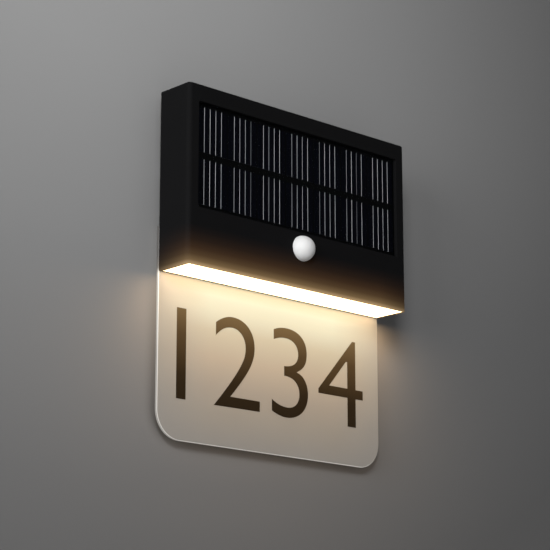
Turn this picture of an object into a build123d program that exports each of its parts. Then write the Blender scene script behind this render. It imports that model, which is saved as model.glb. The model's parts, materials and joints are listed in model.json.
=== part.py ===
from build123d import *

import math
import os

# A solar house number sign for a wall: a shallow black housing with a solar panel and a motion
# sensor in its front and a strip of light along its lower edge, over a hanging acrylic plate.
#
# Millimetres. +Z is up and +X is to the right of someone who faces the sign. The wall is the
# plane Y = 0, so a piece at a depth in front of the wall lies at Y = -depth. The origin is on
# the rear face of the hanging pad, midway between the seats of its two keyholes. Heights are
# measured up from the housing's lower edge.

# ---------------------------------------------------------------- driving dimensions

# Housing
housing_width = 180.0
housing_height = 109.0
housing_depth = 25.6
seat_drop = 17.0
wall = 2.4
upright_edge_radius = 2.8
long_edge_bevel = 0.6
lower_edge_bevel = 0.4

# Rear cover, its rabbet in the housing and its seal
cover_thickness = 2.0
cover_fit = 0.15
rabbet_wall = 1.2
gasket_thickness = 0.5
gasket_width = 1.0
boss_radius = 3.2
boss_wall_gap = 0.6
cover_side_screw_heights = (64.0, 36.0)

# Hanging pad
standoff = 6.0
pad_width = 130.0
pad_height = 46.0
pad_drop = 10.0
pad_wall = 2.0
pad_corner_radius = 5.0
pad_edge_bevel = 0.5
pad_rib_thickness = 1.4
pad_rib_pitch = 22.0
pad_rib_height = 15.0
keyhole_spacing = 100.0
keyhole_entry_radius = 4.6
keyhole_slot_radius = 2.3
keyhole_travel = 8.0
well_radius = 5.8
well_wall = 1.4
well_depth = 5.0

# Self-tapping screws: the core is drawn without its thread, just inside the pilot hole. Screws,
# bosses and pilots have flat sides, and so do the small round pieces inside the housing.
shank_sides = 8
head_sides = 12
ring_sides = 16
screw_pilot_radius = 1.2
screw_core_fit = 0.05
screw_clearance_radius = 1.7
screw_length = 11.0
screw_head_radius = 2.8
screw_head_height = 1.7
small_pilot_radius = 0.85
small_clearance_radius = 1.2
small_head_radius = 1.9
small_head_height = 1.1

# Solar panel
window_side_margin = 7.5
window_top_margin = 10.2
window_corner_radius = 1.0
window_recess = 1.3
laminate_thickness = 0.8
cell_thickness = 0.2
panel_board_thickness = 1.2
panel_tape_thickness = 0.5
panel_tape_width = 3.0
panel_fit = 0.2
pocket_floor = 1.2
pocket_wall = 1.2
cell_columns = 7
cell_rows = 2
cell_gap = 1.2
cell_row_gap = 4.4
cell_side_border = 0.95
cell_end_border = 2.7
fingers_per_cell = 4
finger_pitch = 4.4
finger_width = 0.6
finger_thickness = 0.1

# Motion sensor
lens_radius = 7.8
lens_thickness = 0.7
lens_zones = 5
lens_sides = 24
lens_cap_radius = 0.9
lens_fit = 0.1
lens_ear = 2.8
lens_lip = 0.6
lens_flange_thickness = 1.2
lens_gap = 0.3
lens_shelf_gap = 0.8
hood_length = 4.4
hood_wall = 1.6
sensor_radius = 4.6
sensor_can_height = 3.9
sensor_base_radius = 4.9
sensor_base_height = 0.5
sensor_window = 4.6

# Main board
board_width = 70.0
board_height = 33.0
board_thickness = 1.6
board_shelf_gap = 1.5
board_hole_inset = 4.0
board_boss_radius = 2.6
board_screw_length = 5.0
chip_length = 5.0
chip_width = 4.0
chip_height = 1.6
chip_x = -4.0
chip_drop = 8.0
second_chip_x = -20.0
second_chip_rise = 2.0
coil_x = 8.0
capacitor_x = -8.0
capacitor_rise = 9.0
coil_size = 6.0
coil_height = 3.0
capacitor_radius = 3.0
capacitor_length = 7.0

# Mode button on the rear, with its switch
button_x = 20.0
button_height = 42.0
button_radius = 4.5
button_fit = 0.08
button_flange_radius = 6.0
button_flange_thickness = 1.2
button_travel = 1.4
button_edge_bevel = 0.5
button_seal_thickness = 0.6
button_seal_gap = 0.3
collar_wall = 1.2
collar_fit = 0.2
switch_size = 8.4
switch_body_depth = 8.0
switch_well_room = 1.0
plunger_size = 3.3
plunger_fit = 0.1
plunger_in_switch = 2.5
plunger_in_cap = 3.0

# Light along the lower edge
front_rim = 1.2
side_rim = 2.0
rear_rim = 1.2
diffuser_height = 8.0
diffuser_wall = 1.5
diffuser_fit = 0.1
diffuser_recess = 0.2
hook_pitch = 34.0
hook_count = 5
hook_width = 8.0
hook_top = 11.8
hook_thickness = 1.0
hook_bite = 0.7
hook_height = 1.6
hook_fit = 0.1
shelf_height = 14.0
shelf_thickness = 1.5
strip_end_gap = 3.6
led_board_width = 9.0
led_board_thickness = 1.2
led_count = 16
led_pitch = 10.0
led_length = 3.5
led_width = 2.8
led_height = 0.7
led_board_boss_height = 3.5
led_board_screw_step = 6
led_board_screw_length = 4.0
reflector_thickness = 0.5
reflector_end_gap = 2.6
reflector_window_margin = 0.4
reflector_mouth = 19.0

# Battery
cell_radius = 9.1
cell_length = 65.0
terminal_radius = 2.8
terminal_height = 1.0
holder_drop = 9.5
holder_floor = 1.6
holder_wall = 1.4
holder_fit = 0.2
holder_spring_room = 4.4
holder_boss_length = 2.5
holder_screw_x = 20.0
holder_side_drop = 7.0
holder_screw_length = 2.6
contact_thickness = 0.4
contact_width = 9.0

# Number plate
plate_drop = 97.0
plate_overlap = 27.0
plate_thickness = 2.0
plate_corner_radius = 17.0
plate_edge_chamfer = 0.3
plate_screw_height = 20.0
plate_screw_inset = 12.0
plate_screw_gap = 11.0
washer_radius = 3.6
washer_thickness = 0.5

# Leads inside the housing
lead_radius = 0.6
lead_sides = 6
lead_spacing = 2.2
lead_hole_radius = 2.6
lead_hole_gap = 6.0
panel_lead_gap = 11.0
panel_lead_height = 40.0
grommet_lip = 0.8
grommet_bore = 1.8
connector_length = 6.0
connector_height = 5.2
connector_depth = 4.6
connector_wall = 0.8
connector_grip = 2.5
connector_inset = 5.0
battery_connector_height = 32.0
light_connector_height = 27.0
lead_bow = 5.0
bend_share = 0.45

# ---------------------------------------------------------------- places that follow from them

top = seat_drop
bottom = top - housing_height
rear = standoff
front = rear + housing_depth
inner_front = front - wall
inner_half_width = housing_width / 2 - wall
cover_face = rear + cover_thickness
ledge = cover_face + gasket_thickness

shelf_bottom = bottom + shelf_height
shelf_top = shelf_bottom + shelf_thickness

lens_flange_half_height = lens_radius + lens_lip
sensor_z = shelf_top + lens_shelf_gap + lens_flange_half_height
window_top = top - window_top_margin
window_bottom = sensor_z + lens_flange_half_height + lens_gap + pocket_wall
window_width = housing_width - 2 * window_side_margin
window_height = window_top - window_bottom
window_centre = (window_top + window_bottom) / 2
cell_pitch = (window_width - 2 * cell_side_border) / cell_columns
cell_row_height = (window_height - 2 * cell_end_border + cell_row_gap) / cell_rows - cell_row_gap
panel_front = front - window_recess
cell_front = panel_front - laminate_thickness
panel_board_front = cell_front - finger_thickness - cell_thickness
panel_board_rear = panel_board_front - panel_board_thickness
pocket_face = panel_board_rear - panel_tape_thickness
pocket_rear = pocket_face - pocket_floor

flange_rear = inner_front - lens_flange_thickness
board_front = flange_rear - hood_length
board_rear = board_front - board_thickness
board_z = shelf_top + board_shelf_gap + board_height / 2
board_half_width = board_width / 2

boss_x = inner_half_width - boss_radius - boss_wall_gap
top_boss_height = housing_height - wall - boss_radius - boss_wall_gap
cover_screw_heights = (top_boss_height, *cover_side_screw_heights)
cover_screw_places = [(x, bottom + z) for z in cover_screw_heights for x in (-boss_x, boss_x)]
plate_screw_xs = (board_half_width + plate_screw_gap, housing_width / 2 - plate_screw_inset)
plate_screw_places = [(side * x, bottom + plate_screw_height) for x in plate_screw_xs for side in (-1, 1)]
board_screw_places = [
    (x * (board_width / 2 - board_hole_inset), board_z + z * (board_height / 2 - board_hole_inset))
    for z in (-1, 1)
    for x in (-1, 1)
]

pad_z = -pad_drop
entry_places = [(-keyhole_spacing / 2, -keyhole_travel), (keyhole_spacing / 2, -keyhole_travel)]
well_places = [(x, z + keyhole_travel / 2) for x, z in entry_places]

chip_places = [(chip_x, board_z - chip_drop), (second_chip_x, board_z + second_chip_rise)]
coil_place = (coil_x, board_z - chip_drop)
capacitor_place = (capacitor_x, board_z + capacitor_rise)
connector_x = board_half_width - connector_inset
lead_hole_x = board_half_width + lead_hole_gap
panel_lead_x = board_half_width + panel_lead_gap
connector_places = [
    (connector_x, bottom + panel_lead_height),
    (connector_x, bottom + light_connector_height),
    (-connector_x, bottom + battery_connector_height),
]

button_place = (button_x, bottom + button_height)
flange_face = cover_face + button_seal_thickness
cap_front = flange_face + button_flange_thickness
cap_rear = rear - button_travel
switch_rear = board_rear - switch_body_depth
plunger_rear = cap_front - plunger_in_cap
plunger_front = switch_rear + plunger_in_switch
switch_well_depth = plunger_in_switch + button_travel + switch_well_room
collar_length = button_seal_thickness + button_flange_thickness + button_travel

light_centre = (cover_face + inner_front) / 2
led_board_bottom = shelf_bottom - led_board_thickness
led_board_length = 2 * (inner_half_width - strip_end_gap)
led_board_screw_x = led_board_screw_step * led_pitch
reflector_length = 2 * (inner_half_width - reflector_end_gap)
diffuser_top = bottom + diffuser_height
hook_places = [(i - (hook_count - 1) / 2) * hook_pitch for i in range(hook_count)]

holder_z = pad_z - holder_drop
plug_depth = board_rear - connector_depth / 2
mouth = connector_x + connector_length / 2
holder_front = pocket_rear - holder_boss_length
holder_inner_length = cell_length + terminal_height + contact_thickness + holder_spring_room
holder_length = holder_inner_length + 2 * holder_wall
holder_inner_height = 2 * (cell_radius + holder_fit)
holder_outer_height = holder_inner_height + 2 * holder_wall
cell_axis = holder_front - holder_floor - holder_fit - cell_radius
holder_screw_places = [(-holder_screw_x, holder_z), (holder_screw_x, holder_z)]

plate_rear = rear - plate_thickness
plate_bottom = bottom - plate_drop
plate_top = bottom + plate_overlap

screw_core = screw_pilot_radius - screw_core_fit
small_core = small_pilot_radius - screw_core_fit


def facing(depth):
    """A plane parallel to the wall, this far in front of it, that looks away from the wall."""
    return Plane.XZ.offset(depth)


def slab(depth, thickness, width, low, high, mode=Mode.ADD):
    """A centred block from one depth forward, between two levels, in the open part."""
    with BuildSketch(facing(depth)) as face:
        with Locations((0, (low + high) / 2)):
            Rectangle(width, high - low)
    extrude(face.sketch, amount=thickness, mode=mode)


def posts(depth, thickness, radius, places, mode=Mode.ADD):
    """Round posts or holes of one size from one depth forward, in the open part."""
    with BuildSketch(facing(depth)) as face:
        with Locations(*places):
            Circle(radius)
    extrude(face.sketch, amount=thickness, mode=mode)


def prisms(seat, thickness, radius, sides, places, mode=Mode.ADD, taper=0):
    """Flat-sided posts or holes of one size along a plane's normal, in the open part."""
    with BuildSketch(seat) as face:
        with Locations(*places):
            RegularPolygon(radius, sides)
    extrude(face.sketch, amount=thickness, taper=taper, mode=mode)


# ---------------------------------------------------------------- housing and rear cover

with BuildPart() as front_housing:
    with BuildSketch(Plane.XY.offset(bottom)) as plan:
        with Locations((0, -(front + rear) / 2)):
            Rectangle(housing_width, housing_depth)
        fillet(plan.vertices().group_by(Axis.Y)[0], upright_edge_radius)
    extrude(amount=housing_height)
    top_edges = front_housing.faces().sort_by(Axis.Z)[-1].edges().sort_by(Axis.Y)[:-1]
    chamfer(top_edges, long_edge_bevel)
    lower_edges = front_housing.faces().sort_by(Axis.Z)[0].edges().sort_by(Axis.Y)[:-1]
    chamfer(lower_edges, lower_edge_bevel)

    # The sealed compartment above the shelf, and the light box below it, open at the bottom.
    compartment_depth = inner_front - rear
    slab(rear, compartment_depth, 2 * inner_half_width, shelf_top, top - wall, Mode.SUBTRACT)
    slab(rear, compartment_depth, 2 * inner_half_width, bottom, shelf_bottom, Mode.SUBTRACT)

    # A shallow rebate for the diffuser leaves thin rims round the light.
    rebate_width = housing_width - 2 * side_rim
    slab(rear, front - front_rim - rear, rebate_width, bottom, diffuser_top, Mode.SUBTRACT)
    with BuildSketch(facing(inner_front)):
        with Locations(*[(x, bottom + hook_top - hook_height / 2) for x in hook_places]):
            Rectangle(hook_width + 2 * hook_fit, hook_height + 2 * hook_fit)
    extrude(amount=hook_bite + hook_fit, mode=Mode.SUBTRACT)

    # The rabbet that takes the rear cover, with a ledge for the seal.
    rabbet_width = housing_width - 2 * rabbet_wall
    slab(rear, ledge - rear, rabbet_width, bottom, top - rabbet_wall, Mode.SUBTRACT)

    # The solar pocket's box and all bosses grow back from the front wall.
    pocket_half_height = window_height / 2 + pocket_wall
    slab(
        pocket_rear,
        inner_front - pocket_rear,
        window_width + 2 * pocket_wall,
        window_centre - pocket_half_height,
        window_centre + pocket_half_height,
    )
    bosses = [
        (cover_face, boss_radius, cover_screw_places),
        (cover_face, boss_radius, plate_screw_places),
        (board_front, board_boss_radius, board_screw_places),
        (holder_front, board_boss_radius, holder_screw_places),
    ]
    for face_depth, radius, places in bosses:
        prisms(facing(face_depth), inner_front - face_depth, radius, shank_sides, places)

    # The pocket itself, its lead hole and the hole for the sensor's lens.
    with BuildSketch(facing(pocket_face)):
        with Locations((0, window_centre)):
            RectangleRounded(window_width, window_height, window_corner_radius)
    extrude(amount=front - pocket_face, mode=Mode.SUBTRACT)
    with BuildSketch(facing(pocket_rear)):
        with Locations((panel_lead_x, bottom + panel_lead_height)):
            Rectangle(2 * lead_hole_radius, lead_spacing + 2 * lead_hole_radius)
    extrude(amount=pocket_floor, mode=Mode.SUBTRACT)
    posts(inner_front, wall, lens_radius + lens_fit, [(0, sensor_z)], Mode.SUBTRACT)

    # Pilot holes.
    board_pilot = inner_front - board_front
    upper_board_pilot = pocket_rear - board_front
    pilots = [
        (cover_face, screw_length, screw_pilot_radius, cover_screw_places),
        (cover_face, screw_length, screw_pilot_radius, plate_screw_places),
        (board_front, board_pilot, small_pilot_radius, board_screw_places[:2]),
        (board_front, upper_board_pilot, small_pilot_radius, board_screw_places[2:]),
        (holder_front, holder_boss_length, small_pilot_radius, holder_screw_places),
    ]
    for face_depth, length, radius, places in pilots:
        prisms(facing(face_depth), length, radius, shank_sides, places, Mode.SUBTRACT)

    # Bosses on the shelf for the light strip's screws, and the shelf's lead hole.
    strip_screw_places = [(-led_board_screw_x, -light_centre), (led_board_screw_x, -light_centre)]
    above_shelf = Plane.XY.offset(shelf_top)
    under_shelf = Plane.XY.offset(shelf_bottom)
    grommet_place = (lead_hole_x, -light_centre)
    prisms(above_shelf, led_board_boss_height, board_boss_radius, shank_sides, strip_screw_places)
    prisms(
        under_shelf,
        led_board_screw_length,
        small_pilot_radius,
        shank_sides,
        strip_screw_places,
        Mode.SUBTRACT,
    )
    prisms(
        under_shelf, shelf_thickness, lead_hole_radius, shank_sides, [grommet_place], Mode.SUBTRACT
    )

with BuildPart() as rear_cover:
    cover_width = rabbet_width - 2 * cover_fit
    cover_top = top - rabbet_wall - cover_fit
    slab(rear, cover_thickness, cover_width, bottom + diffuser_recess, cover_top)

    # Hanging pad: a raised tray whose outer face rests on the wall.
    with BuildSketch(facing(0)):
        with Locations((0, pad_z)):
            RectangleRounded(pad_width, pad_height, pad_corner_radius)
    extrude(amount=standoff)
    chamfer(rear_cover.faces().sort_by(Axis.Y)[-1].edges(), pad_edge_bevel)
    with BuildSketch(facing(pad_wall)):
        with Locations((0, pad_z)):
            RectangleRounded(
                pad_width - 2 * pad_wall,
                pad_height - 2 * pad_wall,
                pad_corner_radius - pad_wall,
            )
    extrude(amount=cover_face - pad_wall, mode=Mode.SUBTRACT)

    # Keyholes, each with a closed box behind it for the head of the wall screw.
    with BuildSketch(facing(pad_wall)):
        with Locations(*well_places):
            Rectangle(2 * (well_radius + well_wall), keyhole_travel + 2 * (well_radius + well_wall))
    extrude(amount=well_depth + well_wall)
    with BuildSketch(facing(pad_wall)):
        with Locations(*well_places):
            Rectangle(2 * well_radius, keyhole_travel + 2 * well_radius)
    extrude(amount=well_depth, mode=Mode.SUBTRACT)
    with BuildSketch(facing(0)):
        with Locations(*entry_places):
            Circle(keyhole_entry_radius)
        with Locations(*well_places):
            SlotCenterToCenter(keyhole_travel, 2 * keyhole_slot_radius, rotation=90)
    extrude(amount=pad_wall, mode=Mode.SUBTRACT)

    # Ribs stiffen the pad above the battery.
    pad_inner_top = pad_z + pad_height / 2 - pad_wall
    with BuildSketch(facing(pad_wall)):
        with Locations((0, pad_inner_top - pad_rib_height / 2)):
            with GridLocations(pad_rib_pitch, 1, 3, 1):
                Rectangle(pad_rib_thickness, pad_rib_height)
    extrude(amount=standoff - pad_wall)

    # Guide collar inside for the button's flange, and the button's hole.
    collar_radius = button_flange_radius + collar_fit + collar_wall
    posts(cover_face, collar_length, collar_radius, [button_place])
    posts(cover_face, collar_length, collar_radius - collar_wall, [button_place], Mode.SUBTRACT)
    posts(rear, cover_thickness, button_radius + button_fit, [button_place], Mode.SUBTRACT)

    # Screw holes, and the lower edge's thin rim and hook slots for the diffuser.
    screw_places = cover_screw_places + plate_screw_places
    prisms(
        facing(rear),
        cover_thickness,
        screw_clearance_radius,
        shank_sides,
        screw_places,
        Mode.SUBTRACT,
    )
    lip = rear + rear_rim
    slab(lip, cover_face - lip, rebate_width, bottom, diffuser_top, Mode.SUBTRACT)
    with BuildSketch(facing(cover_face)):
        with Locations(*[(x, bottom + hook_top - hook_height / 2) for x in hook_places]):
            Rectangle(hook_width + 2 * hook_fit, hook_height + 2 * hook_fit)
    extrude(amount=-(hook_bite + hook_fit), mode=Mode.SUBTRACT)

with BuildPart() as cover_gasket:
    gasket_half_width = inner_half_width + gasket_width
    with BuildSketch(facing(cover_face)):
        with BuildLine():
            Polyline(
                (-gasket_half_width, shelf_bottom),
                (gasket_half_width, shelf_bottom),
                (gasket_half_width, top - wall + gasket_width),
                (-gasket_half_width, top - wall + gasket_width),
                close=True,
            )
        make_face()
        with Locations((0, (shelf_top + top - wall) / 2)):
            Rectangle(2 * inner_half_width, top - wall - shelf_top, mode=Mode.SUBTRACT)
    extrude(amount=gasket_thickness)

# ---------------------------------------------------------------- solar panel

panel_width = window_width - 2 * panel_fit
panel_height = window_height - 2 * panel_fit
cell_width = cell_pitch - cell_gap
row_pitch = cell_row_height + cell_row_gap

with BuildPart() as solar_laminate:
    with BuildSketch(facing(cell_front)):
        with Locations((0, window_centre)):
            RectangleRounded(panel_width, panel_height, window_corner_radius)
    extrude(amount=laminate_thickness)

with BuildPart() as solar_cells:
    with BuildSketch(facing(panel_board_front)):
        with Locations((0, window_centre)):
            with GridLocations(cell_pitch, row_pitch, cell_columns, cell_rows):
                Rectangle(cell_width, cell_row_height)
    extrude(amount=cell_thickness)

with BuildPart() as cell_fingers:
    with BuildSketch(facing(panel_board_front + cell_thickness)):
        with Locations((0, window_centre)):
            with GridLocations(cell_pitch, row_pitch, cell_columns, cell_rows):
                with GridLocations(finger_pitch, 1, fingers_per_cell, 1):
                    Rectangle(finger_width, cell_row_height)
    extrude(amount=finger_thickness)

with BuildPart() as solar_board:
    with BuildSketch(facing(panel_board_rear)):
        with Locations((0, window_centre)):
            RectangleRounded(panel_width, panel_height, window_corner_radius)
    extrude(amount=panel_board_thickness)

with BuildPart() as panel_tape:
    with BuildSketch(facing(pocket_face)):
        with Locations((0, window_centre)):
            RectangleRounded(panel_width, panel_height, window_corner_radius)
            tape_inner = 2 * panel_tape_width
            Rectangle(panel_width - tape_inner, panel_height - tape_inner, mode=Mode.SUBTRACT)
    extrude(amount=panel_tape_thickness)

# ---------------------------------------------------------------- motion sensor

with BuildPart() as lens_moulding:
    # A dome of flat light-gathering facets over a flange, about +Z with its rim at the origin.
    flange_drop = front - flange_rear
    flange_seat = Plane.XY.offset(-flange_drop)
    at_origin = [(0, 0)]
    prisms(flange_seat, lens_flange_thickness, lens_radius + lens_ear, lens_sides, at_origin)
    split(bisect_by=Plane.XZ.offset(lens_flange_half_height), keep=Keep.BOTTOM)
    split(bisect_by=Plane.XZ.offset(-lens_flange_half_height), keep=Keep.TOP)
    for radius, mode in ((lens_radius, Mode.ADD), (lens_radius - lens_thickness, Mode.SUBTRACT)):
        prisms(flange_seat, flange_drop, radius, lens_sides, at_origin, mode)
        rises = [math.radians(90 * i / lens_zones) for i in range(lens_zones)]
        rings = [(radius * math.cos(rise), radius * math.sin(rise)) for rise in rises]
        rings.append((lens_cap_radius, radius))
        for (ring, height), (next_ring, next_height) in zip(rings, rings[1:]):
            band = next_height - height
            lean = math.atan((ring - next_ring) * math.cos(math.pi / lens_sides) / band)
            seat = Plane.XY.offset(height)
            prisms(seat, band, ring, lens_sides, at_origin, mode, math.degrees(lean))

with BuildPart() as sensor_lens:
    with Locations((0, -front, sensor_z)):
        add(lens_moulding.part, rotation=(90, 0, 0))

with BuildPart() as sensor_hood:
    hood_bore = lens_flange_half_height - hood_wall
    hood_seat = facing(board_front)
    prisms(hood_seat, hood_length, lens_flange_half_height, ring_sides, [(0, sensor_z)])
    prisms(hood_seat, hood_length, hood_bore, ring_sides, [(0, sensor_z)], Mode.SUBTRACT)

with BuildPart() as motion_sensor:
    prisms(hood_seat, sensor_base_height, sensor_base_radius, ring_sides, [(0, sensor_z)])
    prisms(hood_seat, sensor_can_height, sensor_radius, ring_sides, [(0, sensor_z)])
    with BuildSketch(facing(board_front + sensor_can_height - lens_thickness)):
        with Locations((0, sensor_z)):
            Rectangle(sensor_window, sensor_window)
    extrude(amount=lens_thickness, mode=Mode.SUBTRACT)

# ---------------------------------------------------------------- main board

with BuildPart() as main_board:
    with BuildSketch(facing(board_rear)):
        with Locations((0, board_z)):
            Rectangle(board_width, board_height)
        with Locations(*board_screw_places):
            RegularPolygon(small_clearance_radius, shank_sides, mode=Mode.SUBTRACT)
    extrude(amount=board_thickness)

with BuildPart() as board_components:
    # Two chips, a coil and a storage capacitor on the board's rear face.
    with BuildSketch(facing(board_rear)):
        with Locations(*chip_places):
            Rectangle(chip_length, chip_width)
    extrude(amount=-chip_height)
    with BuildSketch(facing(board_rear)):
        with Locations(coil_place):
            Rectangle(coil_size, coil_size)
    extrude(amount=-coil_height)
    prisms(facing(board_rear), -capacitor_length, capacitor_radius, ring_sides, [capacitor_place])

with BuildPart() as board_connectors:
    # Side-entry sockets on the board's rear face, each open towards its leads.
    with BuildSketch(facing(board_rear)):
        with Locations(*connector_places):
            Rectangle(connector_length, connector_height)
    extrude(amount=-connector_depth)
    with BuildSketch(facing(board_rear - connector_wall)):
        with Locations(*[(x + math.copysign(connector_wall, x), z) for x, z in connector_places]):
            Rectangle(connector_length, connector_height - 2 * connector_wall)
    extrude(amount=-(connector_depth - 2 * connector_wall), mode=Mode.SUBTRACT)

with BuildPart() as switch_body:
    with BuildSketch(facing(switch_rear)):
        with Locations(button_place):
            Rectangle(switch_size, switch_size)
    extrude(amount=switch_body_depth)
    with BuildSketch(facing(switch_rear)):
        with Locations(button_place):
            Rectangle(plunger_size + 2 * plunger_fit, plunger_size + 2 * plunger_fit)
    extrude(amount=switch_well_depth, mode=Mode.SUBTRACT)

with BuildPart() as switch_plunger:
    with BuildSketch(facing(plunger_rear)):
        with Locations(button_place):
            Rectangle(plunger_size, plunger_size)
    extrude(amount=plunger_front - plunger_rear)

with BuildPart() as mode_button:
    posts(cap_rear, cap_front - cap_rear, button_radius, [button_place])
    posts(flange_face, button_flange_thickness, button_flange_radius, [button_place])
    chamfer(mode_button.faces().sort_by(Axis.Y)[-1].edges(), button_edge_bevel)
    with BuildSketch(facing(cap_front)):
        with Locations(button_place):
            Rectangle(plunger_size, plunger_size)
    extrude(amount=-plunger_in_cap, mode=Mode.SUBTRACT)

with BuildPart() as button_seal:
    seal_seat = facing(cover_face)
    seal_hole = button_radius + button_seal_gap
    prisms(seal_seat, button_seal_thickness, button_flange_radius, ring_sides, [button_place])
    prisms(seal_seat, button_seal_thickness, seal_hole, ring_sides, [button_place], Mode.SUBTRACT)

# ---------------------------------------------------------------- light along the lower edge

with BuildPart() as light_strip:
    with BuildSketch(Plane.XY.offset(led_board_bottom)):
        with Locations((0, -light_centre)):
            Rectangle(led_board_length, led_board_width)
        with Locations(*strip_screw_places):
            RegularPolygon(small_clearance_radius, shank_sides, mode=Mode.SUBTRACT)
    extrude(amount=led_board_thickness)

with BuildPart() as light_leds:
    with BuildSketch(Plane.XY.offset(led_board_bottom)):
        with Locations((0, -light_centre)):
            with GridLocations(led_pitch, 1, led_count, 1):
                Rectangle(led_length, led_width)
    extrude(amount=-led_height)

with BuildPart() as light_reflector:
    # A bent white sheet: a flat top against the strip and two flared sides.
    with BuildSketch(Plane.YZ.offset(-reflector_length / 2)):
        with BuildLine():
            half_top = led_board_width / 2
            half_mouth = reflector_mouth / 2
            mouth_level = diffuser_top + diffuser_fit
            Polyline(
                (-light_centre - half_mouth, mouth_level),
                (-light_centre - half_top, led_board_bottom),
                (-light_centre + half_top, led_board_bottom),
                (-light_centre + half_mouth, mouth_level),
                (-light_centre + half_mouth - reflector_thickness, mouth_level),
                (-light_centre + half_top - reflector_thickness, led_board_bottom - reflector_thickness),
                (-light_centre - half_top + reflector_thickness, led_board_bottom - reflector_thickness),
                (-light_centre - half_mouth + reflector_thickness, mouth_level),
                close=True,
            )
        make_face()
    extrude(amount=reflector_length)
    with BuildSketch(Plane.XY.offset(led_board_bottom)):
        with Locations((0, -light_centre)):
            with GridLocations(led_pitch, 1, led_count, 1):
                Rectangle(
                    led_length + 2 * reflector_window_margin,
                    led_width + 2 * reflector_window_margin,
                )
        with Locations(*strip_screw_places):
            RegularPolygon(small_head_radius + reflector_window_margin, head_sides)
    extrude(amount=-reflector_thickness, mode=Mode.SUBTRACT)

with BuildPart() as light_diffuser:
    # A milky trough: its floor glows, its rim and hooks hold it up inside the housing.
    diffuser_width = rebate_width - 2 * diffuser_fit
    diffuser_rear = lip + diffuser_fit
    diffuser_front = front - front_rim - diffuser_fit
    diffuser_floor = bottom + diffuser_recess
    trough_depth = diffuser_front - diffuser_rear
    slab(diffuser_rear, trough_depth, diffuser_width, diffuser_floor, diffuser_top)
    slab(
        diffuser_rear + diffuser_wall,
        trough_depth - 2 * diffuser_wall,
        diffuser_width - 2 * diffuser_wall,
        diffuser_floor + diffuser_wall,
        diffuser_top,
        Mode.SUBTRACT,
    )
    tongue_front = inner_front - hook_fit
    tongue_rear = cover_face + hook_fit
    tongue_level = (diffuser_floor + bottom + hook_top) / 2
    tongue_length = bottom + hook_top - diffuser_floor
    with BuildSketch(facing(tongue_rear)):
        with Locations(*[(x, tongue_level) for x in hook_places]):
            Rectangle(hook_width, tongue_length)
    extrude(amount=hook_thickness)
    with BuildSketch(facing(tongue_front)):
        with Locations(*[(x, tongue_level) for x in hook_places]):
            Rectangle(hook_width, tongue_length)
    extrude(amount=-hook_thickness)
    with BuildSketch(facing(tongue_rear)):
        with Locations(*[(x, bottom + hook_top - hook_height / 2) for x in hook_places]):
            Rectangle(hook_width, hook_height)
    extrude(amount=-hook_bite)
    with BuildSketch(facing(tongue_front)):
        with Locations(*[(x, bottom + hook_top - hook_height / 2) for x in hook_places]):
            Rectangle(hook_width, hook_height)
    extrude(amount=hook_bite)

# ---------------------------------------------------------------- battery

with BuildPart() as battery_holder:
    # A tray with two end walls and low sides, its back to the solar pocket.
    tray_depth = holder_floor + holder_inner_height
    holder_rear = holder_front - tray_depth
    half_height = holder_outer_height / 2
    slab(holder_rear, tray_depth, holder_length, holder_z - half_height, holder_z + half_height)
    inner_half_height = holder_inner_height / 2
    slab(
        holder_rear,
        holder_inner_height,
        holder_inner_length,
        holder_z - inner_half_height,
        holder_z + inner_half_height,
        Mode.SUBTRACT,
    )
    slab(
        holder_rear,
        holder_side_drop,
        holder_inner_length,
        holder_z - half_height,
        holder_z + half_height,
        Mode.SUBTRACT,
    )
    floor_face = facing(holder_front - holder_floor)
    head_recess = small_head_radius + holder_fit
    holder_holes = [
        (holder_floor, small_clearance_radius, shank_sides),
        (small_head_height, head_recess, head_sides),
    ]
    for length, radius, sides in holder_holes:
        prisms(floor_face, length, radius, sides, holder_screw_places, Mode.SUBTRACT)

with BuildPart() as battery_cell:
    # It lies across the holder with its positive end to the right.
    cell_end = holder_inner_length / 2 - contact_thickness - terminal_height
    with BuildSketch(Plane.YZ.offset(cell_end - cell_length)):
        with Locations((-cell_axis, holder_z)):
            Circle(cell_radius)
    extrude(amount=cell_length)
    with BuildSketch(Plane.YZ.offset(cell_end)):
        with Locations((-cell_axis, holder_z)):
            Circle(terminal_radius)
    extrude(amount=terminal_height)

with BuildPart() as contact_plate:
    with BuildSketch(Plane.YZ.offset(holder_inner_length / 2 - contact_thickness)):
        with Locations((-cell_axis, holder_z)):
            Rectangle(contact_width, contact_width)
    extrude(amount=contact_thickness)

with BuildPart() as contact_spring:
    # A bent leaf that bows from the left end wall to the cell's flat end.
    leaf_x = -holder_inner_length / 2
    cell_flat = cell_end - cell_length
    half_leaf = contact_width / 2
    with BuildSketch(Plane.XY.offset(holder_z - half_leaf)):
        with BuildLine():
            Polyline(
                (leaf_x, -cell_axis - half_leaf),
                (leaf_x + contact_thickness, -cell_axis - half_leaf),
                (leaf_x + contact_thickness, -cell_axis + half_leaf - contact_thickness),
                (cell_flat - contact_thickness, -cell_axis + half_leaf / 2),
                (cell_flat - contact_thickness, -cell_axis - half_leaf / 2),
                (cell_flat, -cell_axis - half_leaf / 2),
                (cell_flat, -cell_axis + half_leaf / 2 + contact_thickness),
                (leaf_x + contact_thickness, -cell_axis + half_leaf),
                (leaf_x, -cell_axis + half_leaf),
                close=True,
            )
        make_face()
    extrude(amount=contact_width)

# ---------------------------------------------------------------- number plate

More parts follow.
